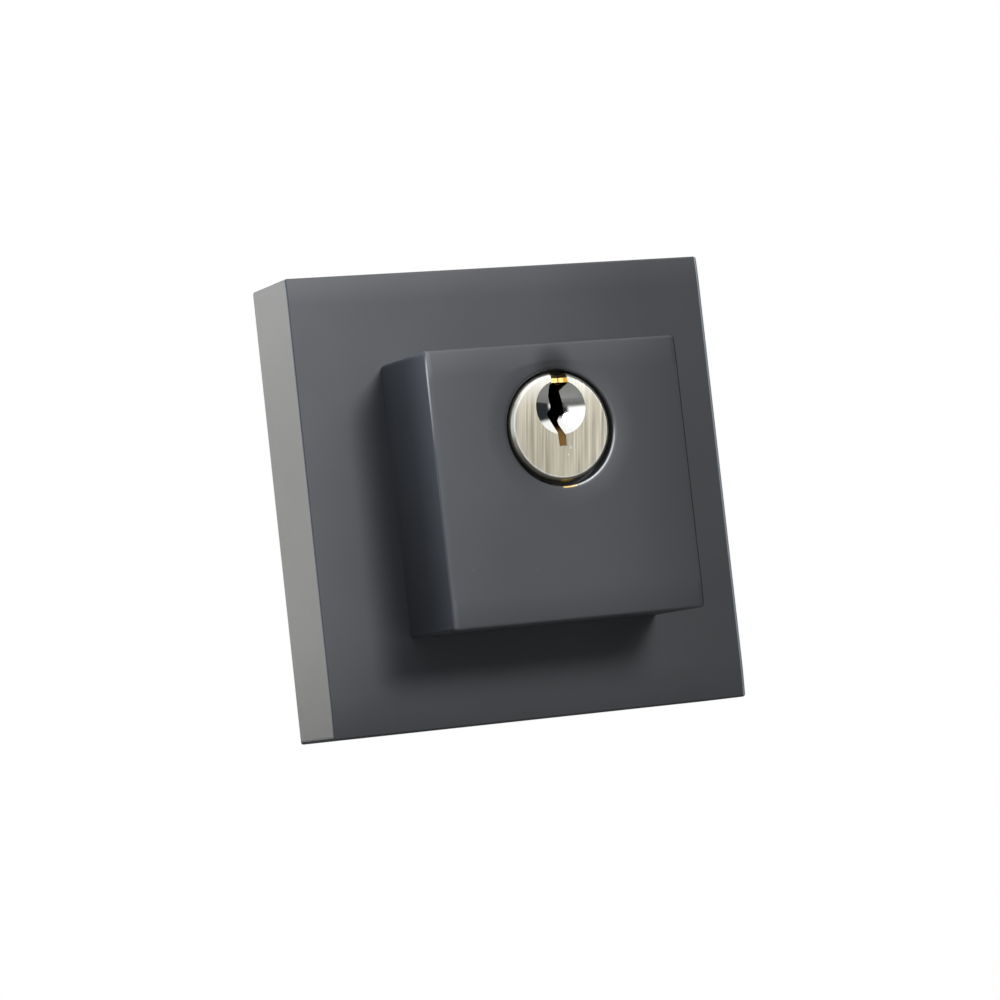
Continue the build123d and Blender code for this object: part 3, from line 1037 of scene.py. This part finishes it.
def makePost(settings, x):
    radius, tenon, end, foot = [settings[key] for key in ("radius", "tenon", "end", "foot")]
    step, bevel, edge = settings["shoulder"], settings["tenonEdge"], settings["shoulderEdge"]
    top = [(radius - inward, end - down) for inward, down in settings["endProfile"]]
    body = lathe([(0, foot), (tenon - bevel, foot), (tenon, foot + bevel), (tenon, step), (radius - edge, step),
                  (radius, step + edge)] + top + [(0, end)], settings["steps"], (x, 0))
    thread = threadedRod(*settings["thread"], settings["boreEnd"], end + settings["threadPast"], (x, 0))
    mouth = [(out, end - down) for out, down in settings["mouthProfile"]]
    return carve(body, [thread, lathe(mouth, settings["mouthSteps"], (x, 0))])


for side, x in (("left", -postSet["spread"]), ("right", postSet["spread"])):
    finishPiece(side + "ThreadedPost", makePost(postSet, x), "housing", [zinc], ["post_" + side])

# Four pan-head screws from behind, with a cross recess
screwSet = {
    "headRadius": 3.0,
    "headProfile": [(0, 0), (0, 0.9), (0.1, 1.35), (0.4, 1.7), (0.9, 1.9), (1.6, 2.0)],  # in, and above the underside
    "headSteps": 56,
    "under": -8.1,
    "top": -6.1,
    "tip": -22.3,
    "thread": (1.35, 1.75, 0.7),
    "neck": 1.0,  # the full diameter under the head; the plain part and the thread run on inside each other
    "plainRadius": 1.72,
    "plainTo": -10.0,
    "plainLap": 0.5,
    "threadLap": 0.6,
    "crossLength": 3.6,
    "crossWidth": 0.8,
    "crossDepth": 1.2,
    "crossPast": 0.2,
    "crossTaper": 0.5,
}


def crossTools(settings, place):
    tools = []
    top, deep = settings["top"], settings["top"] - settings["crossDepth"]
    length, breadth = settings["crossLength"], settings["crossWidth"]
    for wide, high in ((length, breadth), (breadth, length)):
        bm = box((-wide / 2, deep, -high / 2), (wide / 2, top + settings["crossPast"], high / 2))
        for v in bm.verts:
            if v.co.y < top:
                v.co.x *= settings["crossTaper"]
                v.co.z *= settings["crossTaper"]
        shift(bm, place[0], 0, place[1])
        tools.append(bm)
    return tools


def makeScrew(settings, place):
    head, under, outer = settings["headRadius"], settings["under"], settings["thread"][1]
    neck = under - settings["neck"]
    profile = [(0, neck), (outer, neck), (outer, under)]
    profile += [(head - inward, under + up) for inward, up in settings["headProfile"]]
    body = lathe(profile + [(0, settings["top"])], settings["headSteps"], place)
    plain = rod(settings["plainRadius"], settings["plainTo"], under - settings["plainLap"], place, holeSteps)
    thread = threadedRod(*settings["thread"], settings["tip"], settings["plainTo"] + settings["threadLap"], place)
    shaft = carve(body, [plain, thread], operation="UNION")
    return carve(shaft, crossTools(settings, place))


def gather(pieces):
    whole = bmesh.new()
    for bm in pieces:
        mesh = bpy.data.meshes.new("part")
        bm.to_mesh(mesh)
        bm.free()
        whole.from_mesh(mesh)
        bpy.data.meshes.remove(mesh)
    return whole


screws = gather([makeScrew(screwSet, place) for place in screwPlaces])
finishPiece("panHeadScrews", screws, "housing", [screwZinc], ["block_screws"])
print("posts and screws made")

# Tailpiece: a stamped bar with a riveted disc, scored where it may be broken to length
tailSet = {
    "width": 6.35,
    "thickness": 1.6,
    "front": 0.5,
    "end": 52.0,
    "corner": (0.8, 4),  # radius and steps
    "edge": (0.22, 3),
    "discRadius": 4.2,
    "discFront": 2.5,
    "discBack": 3.5,
    "discEdge": 0.15,
    "discSteps": 72,
    "scores": (34.0, 39.0, 44.0),
    "scoreSide": 0.42,
}


def scoreTool(x, y, side, wide):
    half = side / 2
    tool = box((-half, -half, -wide - past), (half, half, wide + past))
    rotate(tool, math.pi / 4, "Z")
    shift(tool, x, y)
    return tool


def makeTailpiece(settings):
    thick, wide = settings["thickness"] / 2, settings["width"] / 2
    bm = box((-thick, settings["front"], -wide), (thick, settings["end"], wide))
    roundEdges(bm, [e for e in edgesAt(bm, 1, settings["end"]) if e in edgesAlong(bm, 0)], *settings["corner"])
    roundEdges(bm, edgesAlong(bm, 1), *settings["edge"])
    radius, front, back, edge = [settings[key] for key in ("discRadius", "discFront", "discBack", "discEdge")]
    disc = lathe([(0, front), (radius - edge, front), (radius, front + edge), (radius, back - edge),
                  (radius - edge, back), (0, back)], settings["discSteps"])
    bar = carve(bm, [disc], operation="UNION")
    places = [(x, y) for y in settings["scores"] for x in (-thick, thick)]
    return carve(bar, [scoreTool(x, y, settings["scoreSide"], wide) for x, y in places])


finishPiece("tailBar", makeTailpiece(tailSet), "plug", [zinc], ["tailpiece"])

# Weather seal: a round-edged rubber cord laid in the rosette's groove
sealSet = {
    "outer": 64.16,
    "width": 1.46,
    "depth": 1.28,
    "softness": 0.45,
    "softSteps": 4,
    "bend": 0.3,  # inner radius at the corners
    "bendSteps": 8,
    "sharp": 60,
}


def makeSeal(settings, drop):
    half, width = settings["outer"] / 2, settings["width"]
    turn = width + settings["bend"]
    bm = bmesh.new()
    low = -drop - half + turn
    corners = [(-half, -settings["depth"]), (-half + width, -settings["depth"]), (-half + width, 0), (-half, 0)]
    bm.faces.new([bm.verts.new((x, y, low)) for x, y in corners])
    bmesh.ops.bevel(bm, geom=bm.verts[:], offset=settings["softness"], offset_type="OFFSET", affect="VERTICES",
                    segments=settings["softSteps"], profile=0.5, material=-1)
    bmesh.ops.delete(bm, geom=bm.faces[:], context="FACES_ONLY")
    ring = bm.edges[:]
    run = settings["outer"] - 2 * turn
    for x, z, dx, dz in ((-1, 1, 0, 1), (1, 1, 1, 0), (1, -1, 0, -1), (-1, -1, -1, 0)):
        grown = bmesh.ops.extrude_edge_only(bm, edges=ring)["geom"]
        verts = {v for v in grown if isinstance(v, bmesh.types.BMVert)}
        bmesh.ops.translate(bm, verts=list(verts), vec=(dx * run, 0, dz * run))
        ring = [e for e in grown if isinstance(e, bmesh.types.BMEdge) and set(e.verts) <= verts]
        corner = (x * (half - turn), 0, -drop + z * (half - turn))
        last = bmesh.ops.spin(bm, geom=list(verts) + ring, cent=corner, axis=(0, 1, 0), angle=math.pi / 2,
                              steps=settings["bendSteps"])
        ring = [e for e in last["geom_last"] if isinstance(e, bmesh.types.BMEdge)]
    bmesh.ops.remove_doubles(bm, verts=bm.verts, dist=sameVert)
    bmesh.ops.recalc_face_normals(bm, faces=bm.faces)
    return bm


finishPiece("rubberSeal", makeSeal(sealSet, castingSet["drop"]), "housing", [foam],
            ["weather_seal"], sealSet["sharp"])
print("tailpiece and seal made")

# Springs: wound wire whose end turns lie closed.
springSet = {
    "pinWire": 0.25,
    "pinRadius": 1.31,
    "pinLow": -15.0,
    "pinHigh": -10.0,
    "pinTurns": 7,
    "travels": [1.6, 3.4, 1.0, 2.8, 2.2],
    "capWire": 0.18,
    "capRadius": 0.66,
    "capLow": -6.7,
    "capHigh": -3.2,
    "capTurns": 7,
    "capTravel": 0.9,
    "closedGap": 1.03,  # pitch of the end turns, as a share of the wire
    "wireSteps": 8,
    "steps": 16,
    "sharp": 60,
}


def windSpring(wire, radius, length, turns, settings):
    bm = bmesh.new()
    bmesh.ops.create_circle(bm, cap_ends=True, radius=wire / 2, segments=settings["wireSteps"])
    rotate(bm, math.pi / 2, "X")
    shift(bm, radius - wire / 2, 0, wire / 2)
    closed, steps = wire * settings["closedGap"], settings["steps"]
    last = bm.verts[:] + bm.edges[:] + bm.faces[:]
    for count, pitch in ((1, closed), (turns - 2, (length - wire - 2 * closed) / (turns - 2)), (1, closed)):
        last = bmesh.ops.spin(bm, geom=last, cent=(0, 0, 0), axis=(0, 0, 1), dvec=(0, 0, pitch / steps),
                              angle=2 * math.pi * count, steps=steps * count)["geom_last"]
    bmesh.ops.recalc_face_normals(bm, faces=bm.faces)
    return bm


springLength = springSet["pinHigh"] - springSet["pinLow"]
for i, y in enumerate(plugSet["pinPlaces"]):
    coil = windSpring(springSet["pinWire"], springSet["pinRadius"], springLength, springSet["pinTurns"], springSet)
    shift(coil, 0, y, springSet["pinLow"])
    item = finishPiece(f"pinCoil{i + 1}", coil, "housing", [springMetal], [f"pin_spring_{i + 1}"],
                       springSet["sharp"])
    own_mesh(item)
capLength = springSet["capHigh"] - springSet["capLow"]
coil = windSpring(springSet["capWire"], springSet["capRadius"], capLength, springSet["capTurns"], springSet)
rotate(coil, -math.pi / 2, "X")
shift(coil, plugSet["capPinOffset"], springSet["capLow"])
item = finishPiece("capCoil", coil, "plug", [springMetal], ["cap_spring"], springSet["sharp"])
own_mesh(item)
print("springs wound")
